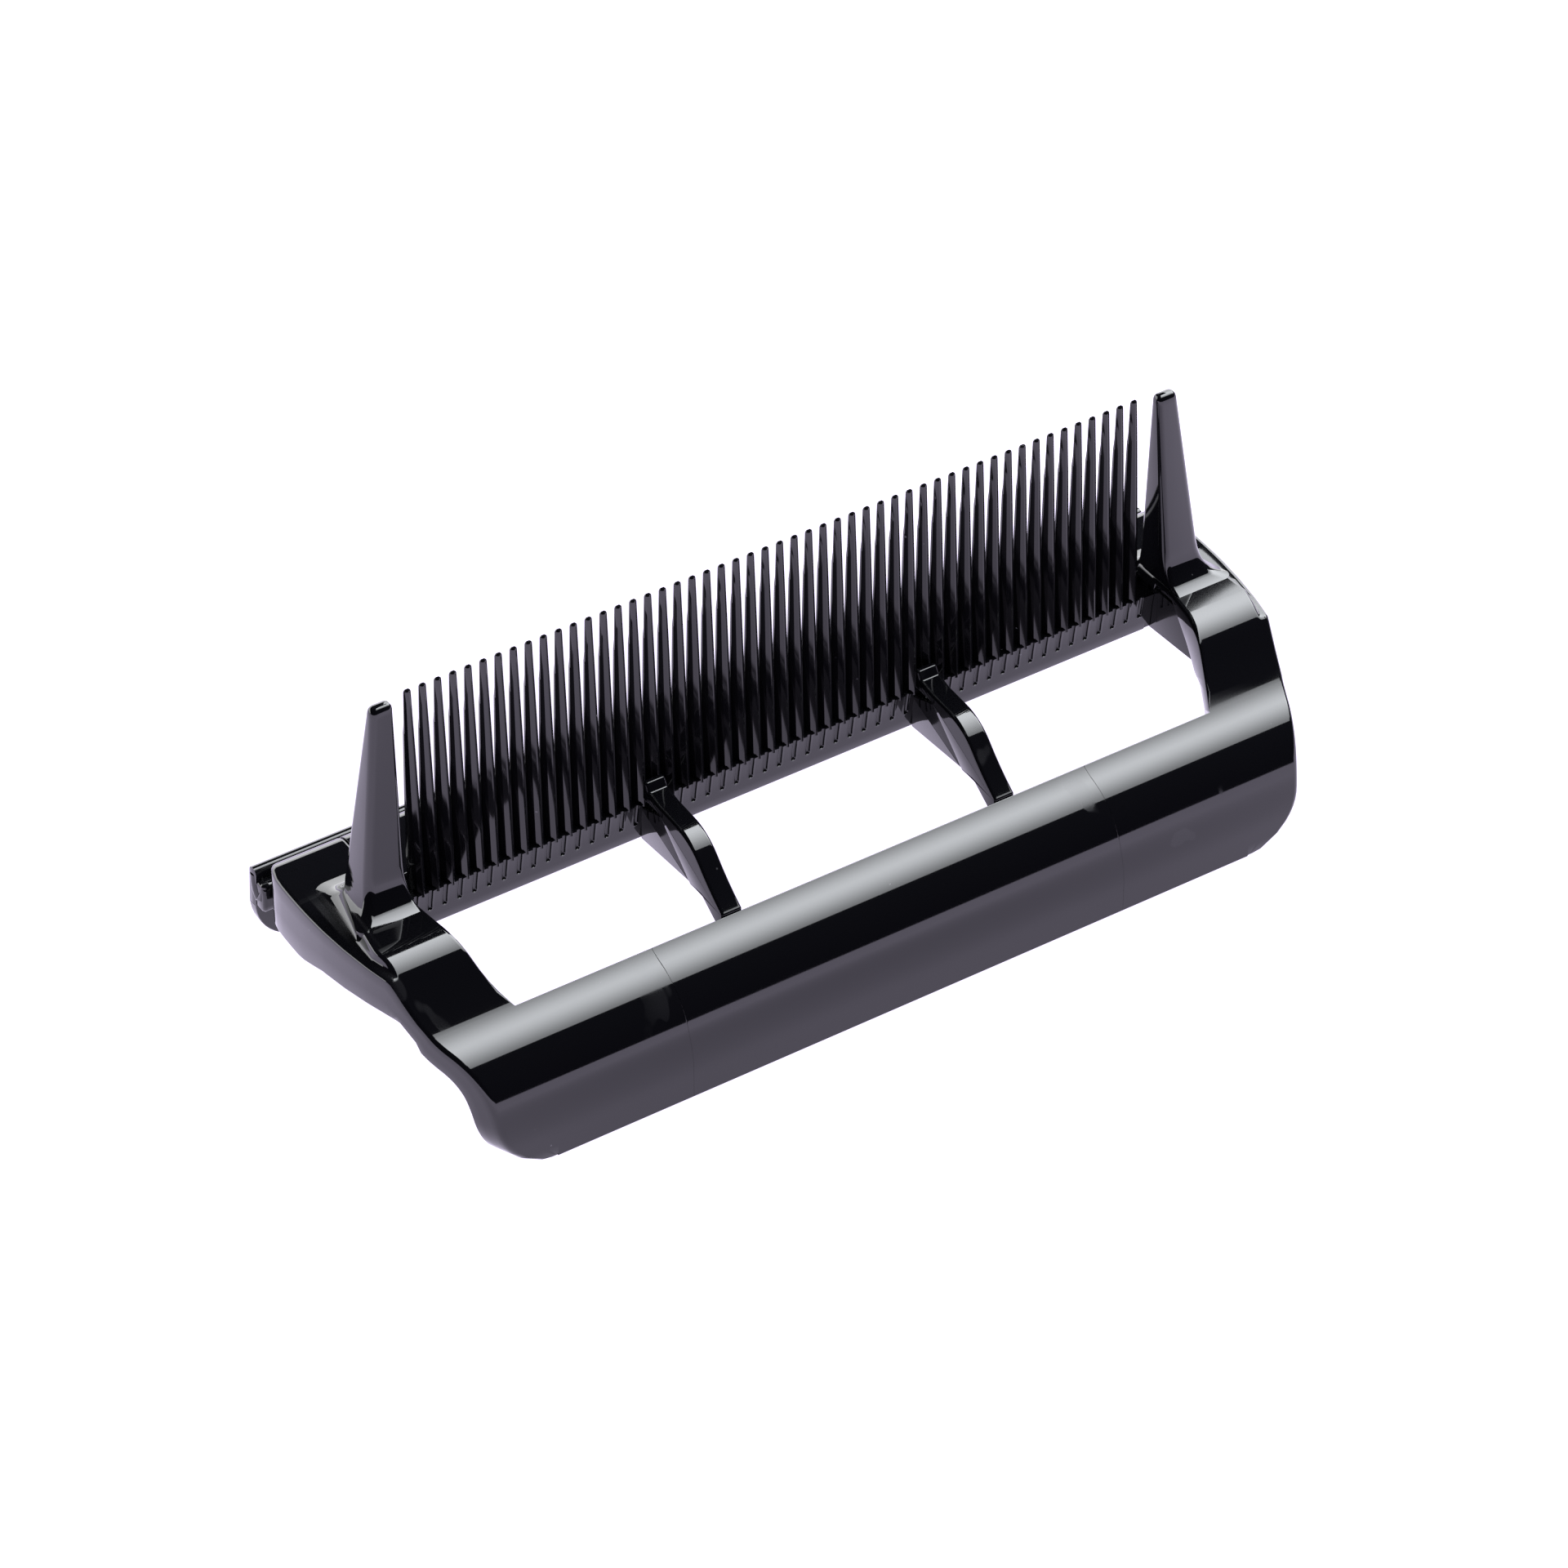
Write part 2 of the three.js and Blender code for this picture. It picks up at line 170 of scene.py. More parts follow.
def shrunk(points, distance):
    """A closed outline moved inwards all round."""
    ring = np.array(points, float)
    before, after = np.roll(ring, 1, 0), np.roll(ring, -1, 0)
    area = np.sum(ring[:, 0] * after[:, 1] - after[:, 0] * ring[:, 1])
    into = ring - before
    out_of = after - ring
    into /= np.maximum(np.linalg.norm(into, axis=1, keepdims=True), 1e-9)
    out_of /= np.maximum(np.linalg.norm(out_of, axis=1, keepdims=True), 1e-9)
    side = np.sign(area) * np.array(((0, 1), (-1, 0)))
    normals_in, normals_out = into @ side, out_of @ side
    mitre = 1 + np.sum(normals_in * normals_out, axis=1, keepdims=True)
    return ring + distance * (normals_in + normals_out) / np.maximum(mitre, 0.5)


def bezier(controls, count=40):
    """Points of a cubic curve through its first and last control."""
    a, b, c, d = (np.array(p, float) for p in controls)
    t = np.linspace(0, 1, count)[:, None]
    return a * (1 - t) ** 3 + 3 * b * t * (1 - t) ** 2 + 3 * c * t * t * (1 - t) + d * t ** 3


# ------------------------------------------------------------------ shells
def shell(rings):
    """A closed shell through rings of (x, y, z) points."""
    work = bmesh.new()
    rows = [[work.verts.new(point) for point in ring] for ring in rings]
    count = len(rows[0])
    for low, high in zip(rows, rows[1:]):
        for i in range(count):
            j = (i + 1) % count
            work.faces.new((low[i], low[j], high[j], high[i]))
    work.faces.new(rows[0])
    work.faces.new(rows[-1])
    bmesh.ops.remove_doubles(work, verts=work.verts, dist=0.0005)
    bmesh.ops.recalc_face_normals(work, faces=work.faces)
    return work


def slab(outline, low, high, edge, round_low=True, round_high=True):
    """An outline in (y, z) carried along X, with its end edges rounded."""
    rings = []
    for end, into, eased in ((low, 1, round_low), (high, -1, round_high)):
        group = []
        for degrees in (0, 30, 60, 90) if eased else (90,):
            angle = math.radians(degrees)
            x = end + into * edge * (1 - math.cos(angle)) if eased else end
            ring = shrunk(outline, edge * (1 - math.sin(angle)))
            group.append([(x, y, z) for y, z in ring])
        if eased:
            group.append([(end + into * (edge + FLAT_HOLD), y, z) for y, z in outline])
        rings += group if into > 0 else group[::-1]
    return shell(rings)


def assemble(name, shells):
    """Joins shells into one object in metres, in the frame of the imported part."""
    joined = bmesh.new()
    for part in shells:
        held = bpy.data.meshes.new("held")
        part.to_mesh(held)
        part.free()
        joined.from_mesh(held)
        bpy.data.meshes.remove(held)
    bmesh.ops.scale(joined, vec=(MM, MM, MM), verts=joined.verts)
    bmesh.ops.translate(joined, vec=(0, TIP_ROW, 0), verts=joined.verts)
    built = bpy.data.meshes.new(name)
    joined.to_mesh(built)
    joined.free()
    return place(name, built)


def place(name, built, sharp=32):
    """Puts a mesh in the scene, smooth but for its sharp edges."""
    built.shade_smooth()
    built.set_sharp_from_angle(angle=math.radians(sharp))
    made = bpy.data.objects.new(name, built)
    bpy.context.scene.collection.objects.link(made)
    return made


def finish_piece(piece, node, body, slot):
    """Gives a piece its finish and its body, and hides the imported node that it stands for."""
    piece.data.materials.clear()
    piece.data.materials.append(FINISHES[slot])
    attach(piece, body)
    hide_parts(node)


# ------------------------------------------------------------------ worked out
TOOTH_BACK = TOOTH_ROOT_DEPTH / 4
TOOTH_FRONT = TOOTH_BACK - TOOTH_ROOT_DEPTH
PLATE_FRONT = TOOTH_FRONT + PLATE_SETBACK
PLATE_BACK = PLATE_FRONT + PLATE_THICKNESS
TIP_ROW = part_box("comb_strip")[1][1] - PLATE_BACK * MM
ARM_INNER = HALF_LENGTH - ARM_WIDTH
TOP_POINTS, TOP_SLOPES, TOP_MARKS = walk((TOOTH_FRONT, ARCH_TOP + CROWN_RISE), TOP_STEPS)
BAR_REAR = TOP_MARKS[4][0] + BAR_OVERLAP
BAR_FRONT = TOP_MARKS[6][0]
ELBOW_FRONT = TOP_MARKS[1][0] + 1.1
DECK_UNDER = DECK_TOP - DECK_WALL
REACH = HALF_LENGTH - REAR_INSET - 0.07


def plan_outline():
    """The curved outer edge of an end seen from above, as Y and X lists."""
    depth = DECK_DEPTH - BAR_FRONT
    (rear_out, rear_along), (front_out, front_along) = OUTLINE_HANDLES
    edge = bezier((
        (-REAR_INSET, DECK_DEPTH), (rear_out, DECK_DEPTH - depth * rear_along),
        (front_out, DECK_DEPTH - depth * front_along), (-FRONT_INSET, BAR_FRONT),
    ), 80)
    fullest = edge[:, 0].max()
    return edge[::-1, 1], HALF_LENGTH + edge[::-1, 0] - fullest


PLAN_Y, PLAN_X = plan_outline()
ARM_EDGE = bezier((
    (ARM_INNER, PLATE_FRONT), (ARM_INNER, BAR_REAR * ARM_HANDLES[0]),
    (ARM_INNER - ARM_FLARE / 2, BAR_REAR * ARM_HANDLES[1]), (ARM_INNER - ARM_FLARE, BAR_REAR),
))[::-1]


def outer_x(y, z):
    """How far an end reaches at a depth and a height."""
    x = float(np.interp(y, PLAN_Y, PLAN_X))
    past = y - (DECK_DEPTH - REAR_CORNER)
    if past > 0:
        x -= REAR_SQUASH * (REAR_CORNER - math.sqrt(max(0.0, REAR_CORNER ** 2 - past ** 2)))
    if z < BAR_CORNER:
        x -= BAR_CORNER - math.sqrt(max(0.0, BAR_CORNER ** 2 - (BAR_CORNER - z) ** 2))
    return x


def inner_x(y):
    """Where the inner side of an arm lies at a depth."""
    return float(np.interp(y, ARM_EDGE[:, 1], ARM_EDGE[:, 0]))


def step_x(y):
    """Where the side of the raised arm lies at a depth."""
    full = HALF_LENGTH - HUMP_SIDE
    return float(np.interp(y, (-12, -5.4, -3.8, -2.6), (full - 0.4, full, full - 0.8, full - 2.0)))


def top_height(y):
    """Height of the arm's top line at a depth."""
    ys = [p[0] for p in TOP_POINTS][::-1]
    zs = [p[1] for p in TOP_POINTS][::-1]
    return float(np.interp(y, ys, zs))


def bar_rows():
    """The bar's wall as pairs of outer and inner points, from its rear edge to its foot."""
    rows = []
    for point, slope in zip(TOP_POINTS, TOP_SLOPES):
        if point[0] < BAR_REAR - 0.02:
            y = max(point[0], BAR_FRONT)
            rows.append(((y, point[1]), inset_point((y, point[1]), min(slope, math.pi / 2),
                                                    SHELL_WALL)))
    start = (BAR_REAR, top_height(BAR_REAR))
    slope = TOP_SLOPES[next(i for i, p in enumerate(TOP_POINTS) if p[0] < BAR_REAR)]
    rows.insert(0, (start, inset_point(start, slope, SHELL_WALL)))
    for height in (1.4, 0.35):
        rows.append(((BAR_FRONT, height), (BAR_FRONT + SHELL_WALL, height)))
    return rows


def bar_section():
    """Closed outline of the bar in (y, z)."""
    rows = bar_rows()
    under = rows[0][1]
    outer = [row[0] for row in rows] + [(BAR_FRONT, 0)]
    inner = [row[1] for row in rows[1:] if row[1][1] > 0.1] + [(BAR_FRONT + SHELL_WALL, 0)]
    return rounded([(BAR_REAR, under[1] + 0.15), *outer, *inner[::-1]], 0.4)


# ------------------------------------------------------------------ end frames
STEP_PROFILE = (
    (-0.34, 0.0), (-0.20, 0.03), (-0.08, 0.12), (0.0, 0.27), (0.07, 0.50),
    (0.15, 0.72), (0.28, 0.89), (0.45, 0.97), (0.62, 1.0),
)


def arm_under():
    """The underside of an arm as Y and Z lists, front to rear."""
    rear = DECK_UNDER
    front = bar_rows()[0][1]
    line = [
        front, (TOP_MARKS[3][0] + 3.6, ELBOW_HEIGHT - 1), (ELBOW_FRONT - 1.4, ELBOW_HEIGHT + 0.15),
        (ELBOW_FRONT, ELBOW_HEIGHT), (ELBOW_FRONT + 0.5, ELBOW_HEIGHT),
        (TOOTH_FRONT - RIB_LEVEL, ARCH_TOP - RIB_WALL), (TOOTH_FRONT, ARCH_TOP - RIB_WALL),
        (PLATE_FRONT, rear), (DECK_DEPTH, rear),
    ]
    return zip(*line)


ARM_UNDER_Y, ARM_UNDER_Z = arm_under()
CHEEK_LINE = (
    (ELBOW_FRONT, ELBOW_HEIGHT), (PLATE_FRONT, PLATE_EDGE - 0.3), (2.9, CHEEK_LOW),
    (8.1, CHEEK_LOW), (9.3, CHEEK_LOW + 0.35), (10.0, CHEEK_LOW + 0.8),
    (DECK_DEPTH, CHEEK_LOW + 1.3),
)


def end_rows():
    """Rows from the rear edge of an end to the foot of the bar: top, underside, cheek edge."""
    cheek_y, cheek_z = zip(*CHEEK_LINE)
    rows = []
    foot = DECK_TOP - FLANGE_DROP
    back = DECK_DEPTH
    rows.append(((back, foot), (back - FLANGE_WALL, foot), (back, CHEEK_LOW + 1.3), True))
    roll = arc((back - DECK_ROLL, DECK_TOP - DECK_ROLL), DECK_ROLL, 0, 90, 12)
    for i, top in enumerate([(back, foot + 0.5), *roll]):
        share = i / (len(roll) + 1)
        y = back - 2.6 * share
        rows.append((top, (back - FLANGE_WALL, min(DECK_UNDER, foot + 0.5 + i * 0.3)),
                     (y, float(np.interp(y, cheek_y, cheek_z))), False))
    flat = [7.4, 6.2, 4.8, 3.4, 2.4, HUMP_REAR + 0.25]
    lift = [(HUMP_REAR + 0.12, 0.25), (HUMP_REAR, 0.6), (HUMP_REAR - 0.15, 0.9),
            (HUMP_REAR - 0.4, 1.0)]
    tops = [(y, DECK_TOP) for y in flat]
    tops += [(y, DECK_TOP + (ARCH_TOP + CROWN_RISE - DECK_TOP) * share) for y, share in lift]
    tops += [(y, ARCH_TOP + CROWN_RISE) for y in (0.4, -0.4, PLATE_FRONT)]
    tops += [tuple(p) for p in TOP_POINTS if p[0] > BAR_REAR + 0.05]
    front_under = bar_rows()[0][1]
    for top in tops:
        y = float(np.interp(top[0], (BAR_REAR, TOP_MARKS[2][0], TOP_MARKS[0][0], back),
                            (front_under[0], ELBOW_FRONT - 1.4, TOP_MARKS[0][0], back)))
        under = (y, float(np.interp(y, ARM_UNDER_Y, ARM_UNDER_Z)))
        cheek = float(np.interp(y, cheek_y, cheek_z)) if y > ELBOW_FRONT else under[1]
        rows.append((top, under, (y, min(cheek, under[1])), False))
    for top, under in bar_rows():
        rows.append((top, under, under, False))
    ease = 0.35
    for degrees in (45, 90):
        angle = math.radians(degrees)
        pinch = ease * (1 - math.cos(angle))
        height = ease * (1 - math.sin(angle))
        under = (BAR_FRONT + SHELL_WALL - pinch, height)
        rows.append(((BAR_FRONT + pinch, height), under, under, False))
    return rows


def along(top, bottom, distance):
    """The point at a distance below the top on the way to the bottom."""
    top, bottom = np.array(top, float), np.array(bottom, float)
    span = max(float(np.linalg.norm(bottom - top)), 1e-6)
    return tuple(top + (bottom - top) * min(distance / span, 1.0))


def end_ring(top, under, cheek, split, side):
    """One row of an end frame as a closed ring across X."""
    drop = max(0.0, top[1] - DECK_TOP)
    outer_top = (top[0], top[1] - drop)
    if split:
        outer_top = cheek
    on_bar = top[0] < BAR_REAR + 0.01
    inner_edge = 0.0 if on_bar else 0.4 * min(1.0, (top[0] - BAR_REAR) / 1.5)
    outer_edge = 0.45
    ring = []
    quarter = (0, 30, 60, 90)
    for degrees in quarter:
        angle = math.radians(degrees)
        low = along(under, top, inner_edge * (1 - math.cos(angle)))
        ring.append((inner_x(low[0]) + inner_edge * (1 - math.sin(angle)), *low))
    for degrees in quarter[::-1]:
        angle = math.radians(degrees)
        high = along(top, under, inner_edge * (1 - math.cos(angle)))
        ring.append((inner_x(high[0]) + inner_edge * (1 - math.sin(angle)), *high))
    right = outer_x(*outer_top) - outer_edge
    step = min(step_x(top[0]), right - STEP_PROFILE[-1][0] - 0.02)
    left = inner_x(top[0]) + inner_edge
    span = step + STEP_PROFILE[0][0] - left
    for x in (FLAT_HOLD, 0.25 * span, 0.5 * span, 0.75 * span, span - FLAT_HOLD):
        ring.append((left + x, *top))
    for offset, share in STEP_PROFILE:
        y = top[0] + (outer_top[0] - top[0]) * share
        ring.append((step + offset, y, top[1] + (outer_top[1] - top[1]) * share))
    ring.append((max(right - FLAT_HOLD, step + STEP_PROFILE[-1][0] + 0.01), *outer_top))
    for degrees in quarter:
        angle = math.radians(degrees)
        high = along(outer_top, cheek, outer_edge * (1 - math.cos(angle)))
        ring.append((outer_x(*high) - outer_edge * (1 - math.sin(angle)), *high))
    for share in (0.3, 0.6):
        middle = along(outer_top, cheek, math.dist(outer_top, cheek) * share)
        ring.append((outer_x(*middle), *middle))
    for degrees in quarter[::-1]:
        angle = math.radians(degrees)
        low = along(cheek, outer_top, 0.3 * (1 - math.cos(angle)))
        ring.append((outer_x(*low) - 0.3 * (1 - math.sin(angle)), *low))
    inside = min(HALF_LENGTH - CHEEK_WALL, outer_x(*cheek) - 1.2)
    ring.append((inside, *cheek))
    ring.append((inside, *under))
    return [(x * side, y, z) for x, y, z in ring]


def guard_tine(side):
    """The tall tine of an end, its foot flared into the arm and the flat end."""
    rings = []
    base, flare_front, flare_side, flare_rear = 17.2, 3.6, 1.9, 3.0
    heights = [base, 17.32, 17.5, 17.8, 18.2, 18.6, 18.9, 19.2, 19.6, 20.1, 20.7, 21.4, 22.4, 25,
               30, 35, 39.0]
    top = 40.0
    for z in heights + [39.4, 39.7, 39.92, top]:
        share = (z - ARCH_TOP) / (top - ARCH_TOP)
        inner = 42.45 + (42.05 - 42.45) * share
        outer = 46.95 + (44.3 - 46.95) * share
        front = -2.9 + (-1.15 + 2.9) * share
        rear = 1.75 + (0.15 - 1.75) * share
        down = max(0.0, (22.2 - z) / flare_front)
        spread = 1 - math.sqrt(max(0.0, 1 - min(down, 1.0) ** 2))
        front -= 2.3 * spread
        front_outer = outer + spread * (step_x(front) - 0.1 - outer)
        down = min(1.0, max(0.0, (DECK_TOP + flare_side - z) / flare_side))
        outer += flare_side * (1 - math.sqrt(1 - down ** 2))
        rear += flare_rear * (1 - math.sqrt(1 - down ** 2))
        cap = max(0.0, z - 39.4) / 0.6
        ease = 0.45 * (1 - math.sqrt(max(0.0, 1 - cap ** 2)))
        corner = 0.62 + 0.25 * (1 - share)
        back_corner = corner + 0.9 * (1 - math.sqrt(1 - down ** 2))
        slim = corner * 0.7 * (1 - spread) + 0.12
        ring = []
        for cx, cy, radius, start in (
            (outer - back_corner, rear - back_corner, back_corner, 0),
            (inner + slim, rear - slim, slim, 90), (inner + slim, front + slim, slim, 180),
            (front_outer - corner, front + corner, corner, 270),
        ):
            ring += [(x, y) for x, y in arc((cx, cy), max(radius - ease, 0.05), start, start + 90,
                                            6)]
        rings.append([(x * side, y, z) for x, y in ring])
    return shell(rings)


def end_frame(side, name):
    rings = [end_ring(*row, side) for row in end_rows()]
    joint = ARM_INNER - ARM_FLARE
    start = BAR_SEAM + SEAM_GAP
    low, high = sorted((start * side, joint * side))
    reach = slab(bar_section(), low, high, SEAM_EASE, side > 0, side < 0)
    return assemble(name, [shell(rings), reach, guard_tine(side)])


# ------------------------------------------------------------------ deck, hook, struts, webs
def deck_piece():
    foot = DECK_TOP - FLANGE_DROP
    outline = [
        (PLATE_BACK + 0.1, DECK_UNDER), (PLATE_BACK + 0.1, DECK_TOP),
        *arc((DECK_DEPTH - DECK_ROLL, DECK_TOP - DECK_ROLL), DECK_ROLL, 90, 0, 16),
        (DECK_DEPTH, foot), (DECK_DEPTH - FLANGE_WALL, foot),
        (DECK_DEPTH - FLANGE_WALL, DECK_UNDER),
    ]
    half = ARM_INNER - SEAM_GAP * 2
    return assemble("deck", [slab(rounded(outline, 0.25), -half, half, 0.06)])


def hanging_wall():
    """The lip and the wall below it, its lower corners rounded."""
    inner = DECK_DEPTH + HOOK_SLOT
    flat = REACH - HOOK_CORNER
    turns = [flat + HOOK_CORNER * math.sin(math.radians(a)) for a in range(0, 85, 7)]
    stations = turns + [REACH - 0.02]

    def section(x, ease):
        past = max(0.0, abs(x) - flat)
        foot = HOOK_FOOT + HOOK_CORNER - math.sqrt(max(0.0, HOOK_CORNER ** 2 - past ** 2))
        lean = HOOK_LEAN * (LIP_TOP - foot) / (LIP_TOP - HOOK_FOOT)
        outline = [
            *arc((inner + LIP_WALL / 2, LIP_TOP - LIP_WALL / 2), LIP_WALL / 2, 180, 0, 10),
            (inner + LIP_WALL + lean, foot), (inner + lean, foot),
        ]
        return shrunk(rounded(outline, 0.35), ease)

    rings = []
    for x in sorted([-s for s in stations] + stations):
        rings.append([(x, y, z) for y, z in section(x, 0)])
    for sign in (-1, 1):
        for ease, x in ((0.12, REACH), (0.35, REACH + 0.05)):
            ring = [(sign * x, y, z) for y, z in section(REACH - 0.02, ease)]
            rings.insert(0, ring) if sign < 0 else rings.append(ring)
    return shell(rings)


def slot_end(side):
    """The rounded end of the slot: a bead from the lip down to the saddle and up to the deck."""
    inner = DECK_DEPTH + HOOK_SLOT
    lip = inner + LIP_WALL / 2
    path = [(lip, LIP_TOP - 0.75, 0.62), (lip, LIP_TOP - 1.6, 0.64),
            (lip - 0.2, LIP_TOP - 2.5, 0.64)]
    low = LIP_TOP - 3.3
    path += [(lip - 0.65, low, 0.62), (lip - 1.1, low + 0.3, 0.56), (lip - 1.32, low + 1.1, 0.45),
             (lip - 1.36, low + 1.9, 0.4), (lip - 1.36, low + 2.1, 0.25)]
    rings = []
    for i, (y, z, radius) in enumerate(path):
        before, after = path[max(i - 1, 0)], path[min(i + 1, len(path) - 1)]
        run = np.array((after[0] - before[0], after[1] - before[1]))
        run /= np.linalg.norm(run)
        ring = []
        for angle in np.linspace(0, 2 * math.pi, 20, endpoint=False):
            across = radius * math.cos(angle)
            x = REACH - 0.5 + radius * 1.1 * math.sin(angle)
            ring.append((side * x, y - run[1] * across, z + run[0] * across))
        rings.append(ring)
    return shell(rings)


def hook_piece():
    inner = DECK_DEPTH + HOOK_SLOT
    top = DECK_TOP - FLANGE_DROP - 0.3
    foot = top - SADDLE_DEPTH
    back = inner + LIP_WALL / 2 + 0.2

    def saddle(front):
        return rounded([(front, top), (front, foot), (back, foot), (back, top)], SADDLE_ROUND)

    tongue = HALF_LENGTH - CHEEK_WALL - 0.3
    return assemble("hook", [
        hanging_wall(), slot_end(-1), slot_end(1),
        slab(saddle(DECK_DEPTH + 0.12), -REACH + 0.05, REACH - 0.05, 0.35),
        slab(rounded([(DECK_DEPTH - FLANGE_WALL + 0.45, top),
                      (DECK_DEPTH - FLANGE_WALL + 0.45, foot + 0.3),
                      (inner, foot + 0.3), (inner, top)], 0.4), -tongue, tongue, 0.2),
    ])


def rib_underside(rear):
    return [
        (TOP_MARKS[3][0] + 3.6, ELBOW_HEIGHT - 1), (ELBOW_FRONT - 1.4, ELBOW_HEIGHT + 0.15),
        (ELBOW_FRONT, ELBOW_HEIGHT), (ELBOW_FRONT + 0.5, ELBOW_HEIGHT),
        (TOOTH_FRONT - RIB_LEVEL, ARCH_TOP - RIB_WALL), (rear, ARCH_TOP - RIB_WALL),
    ]


def strut(side, name):
    rear = TOOTH_FRONT - 0.12
    front = BAR_REAR + 0.12
    outline = [
        (rear, ARCH_TOP + 1.2), (rear - 0.6, ARCH_TOP + 1.2), (rear - 1.1, ARCH_TOP + 0.4),
        *[tuple(p) for p in TOP_POINTS if front < p[0] < rear - 2],
        (front, top_height(front)), (front, bar_rows()[0][1][1]), *rib_underside(rear),
    ]
    middle = STRUT_OFFSET * side
    half = STRUT_WIDTH / 2
    return assemble(name, [slab(rounded(outline, 0.3), middle - half, middle + half, 0.3)])


def web_outline(rear, rear_top):
    return rounded([
        (rear, rear_top), (TOOTH_FRONT - RIB_LEVEL, ARCH_TOP - RIB_WALL - 0.2),
        (ELBOW_FRONT + 0.7, ELBOW_HEIGHT - 0.02), (rear, PLATE_EDGE),
    ], 0.15)


def strut_web(side, name):
    middle = STRUT_OFFSET * side
    outline = web_outline(PLATE_FRONT - 0.05, SHELF_TOP - 0.75)
    return assemble(name, [slab(outline, middle - WEB_WIDTH / 2, middle + WEB_WIDTH / 2, 0.15)])


def gusset(side, name):
    low, high = sorted((ARM_INNER * side, (ARM_INNER + WEB_WIDTH) * side))
    outline = web_outline(PLATE_FRONT + 0.6, ARCH_TOP - RIB_WALL - 0.3)
    return assemble(name, [slab(outline, low, high, 0.06)])


# ------------------------------------------------------------------ comb
def tooth():
    """One tooth at X = 0, chamfered in front, with a rib behind and an eased tip."""
    rings = []
    root = SHELF_TOP - 0.35
    kink = TOOTH_TOP - TOOTH_KINK
    levels = [root, SHELF_TOP - 0.12, SHELF_TOP, SHELF_TOP + 0.4, 22, 28, kink - 0.5, kink + 0.5,
              37, TOOTH_TOP - 0.3]
    for z in levels + [TOOTH_TOP - 0.12, TOOTH_TOP - 0.03, TOOTH_TOP]:
        share = (z - SHELF_TOP) / (TOOTH_TOP - SHELF_TOP)
        width = float(np.interp(share, TOOTH_WIDTHS[0], TOOTH_WIDTHS[1]))
        depth = TOOTH_ROOT_DEPTH + (TOOTH_TIP_DEPTH - TOOTH_ROOT_DEPTH) * share
        front = TOOTH_FRONT * (1 - share) - TOOTH_TIP_DEPTH / 2 * share
        rib = 1.0 if z < kink else 0.84
        cap = max(0.0, z - (TOOTH_TOP - 0.3)) / 0.3
        hold = math.sqrt(max(0.0, 1 - (0.85 * cap) ** 2))
        back = front + depth
        half = width / 2
        ring = [
            (-half * rib, back - 0.12 * depth), (-half * rib * 0.8, back), (half * rib * 0.8, back),
            (half * rib, back - 0.12 * depth), (half * rib, front + 0.62 * depth),
            (half * 0.95, front + 0.56 * depth), (half * 0.6, front + 0.2 * depth),
            (TOOTH_LAND + 0.03, front + 0.02), (TOOTH_LAND, front), (-TOOTH_LAND, front),
            (-TOOTH_LAND - 0.03, front + 0.02), (-half * 0.6, front + 0.2 * depth),
            (-half * 0.95, front + 0.56 * depth), (-half * rib, front + 0.62 * depth),
        ]
        middle = front + depth / 2
        rings.append([(x * hold, middle + (y - middle) * hold, z) for x, y in ring])
    return shell(rings)


def plate_front(z):
    """How far forward the face of the plate stands at a height."""
    return float(np.interp(z, (PLATE_EDGE, 15.2, SHELF_TOP),
                           (PLATE_FRONT, PLATE_FRONT - 0.28, TOOTH_FRONT + 0.04)))


def plate_cell():
    """One pitch of the plate with the groove below a gap, open at both sides."""
    half = TOOTH_PITCH / 2
    wide = GROOVE_WIDTH / 2
    across = (half, 0.5, wide + 0.16, wide + 0.08, wide + 0.02, wide - 0.05, wide - 0.12, 0.05)
    columns = [-x for x in across] + list(across[::-1])
    foot = SHELF_TOP - GROOVE_LENGTH + wide
    levels = [PLATE_EDGE + 0.25, 13.4, foot - 0.5, foot - wide - 0.16, foot - wide - 0.08,
              foot - wide - 0.02,
              foot - wide + 0.05, foot - wide + 0.12, foot - 0.04, foot + 0.1, foot + 0.6, 16.1,
              SHELF_TOP - 0.12]
    edge = PLATE_EDGE
    before = [(PLATE_BACK - 0.25, SHELF_TOP), (PLATE_BACK, SHELF_TOP - 0.25),
              (PLATE_BACK, edge + 0.25),
              (PLATE_BACK - 0.25, edge), (PLATE_FRONT + 0.25, edge),
              (PLATE_FRONT + 0.07, edge + 0.07)]
    work = bmesh.new()
    rows = []
    for x in columns:
        row = [work.verts.new((x, y, z)) for y, z in before]
        for z in levels:
            away = math.hypot(x, min(0.0, z - foot))
            sunk = GROOVE_DEPTH * math.sqrt(max(0.0, 1 - (away / wide) ** 2))
            rim = 0.03 * max(0.0, 1 - abs(away - wide - 0.05) / 0.08) if away > wide else 0.0
            row.append(work.verts.new((x, plate_front(z) + sunk - rim, z)))
        deep = GROOVE_DEPTH * math.sqrt(max(0.0, 1 - (x / wide) ** 2))
        row.append(work.verts.new((x, TOOTH_FRONT + 0.14 + deep, SHELF_TOP)))
        rows.append(row)
    count = len(rows[0])
    for low, high in zip(rows, rows[1:]):
        for i in range(count):
            j = (i + 1) % count
            work.faces.new((low[i], high[i], high[j], low[j]))
    return work


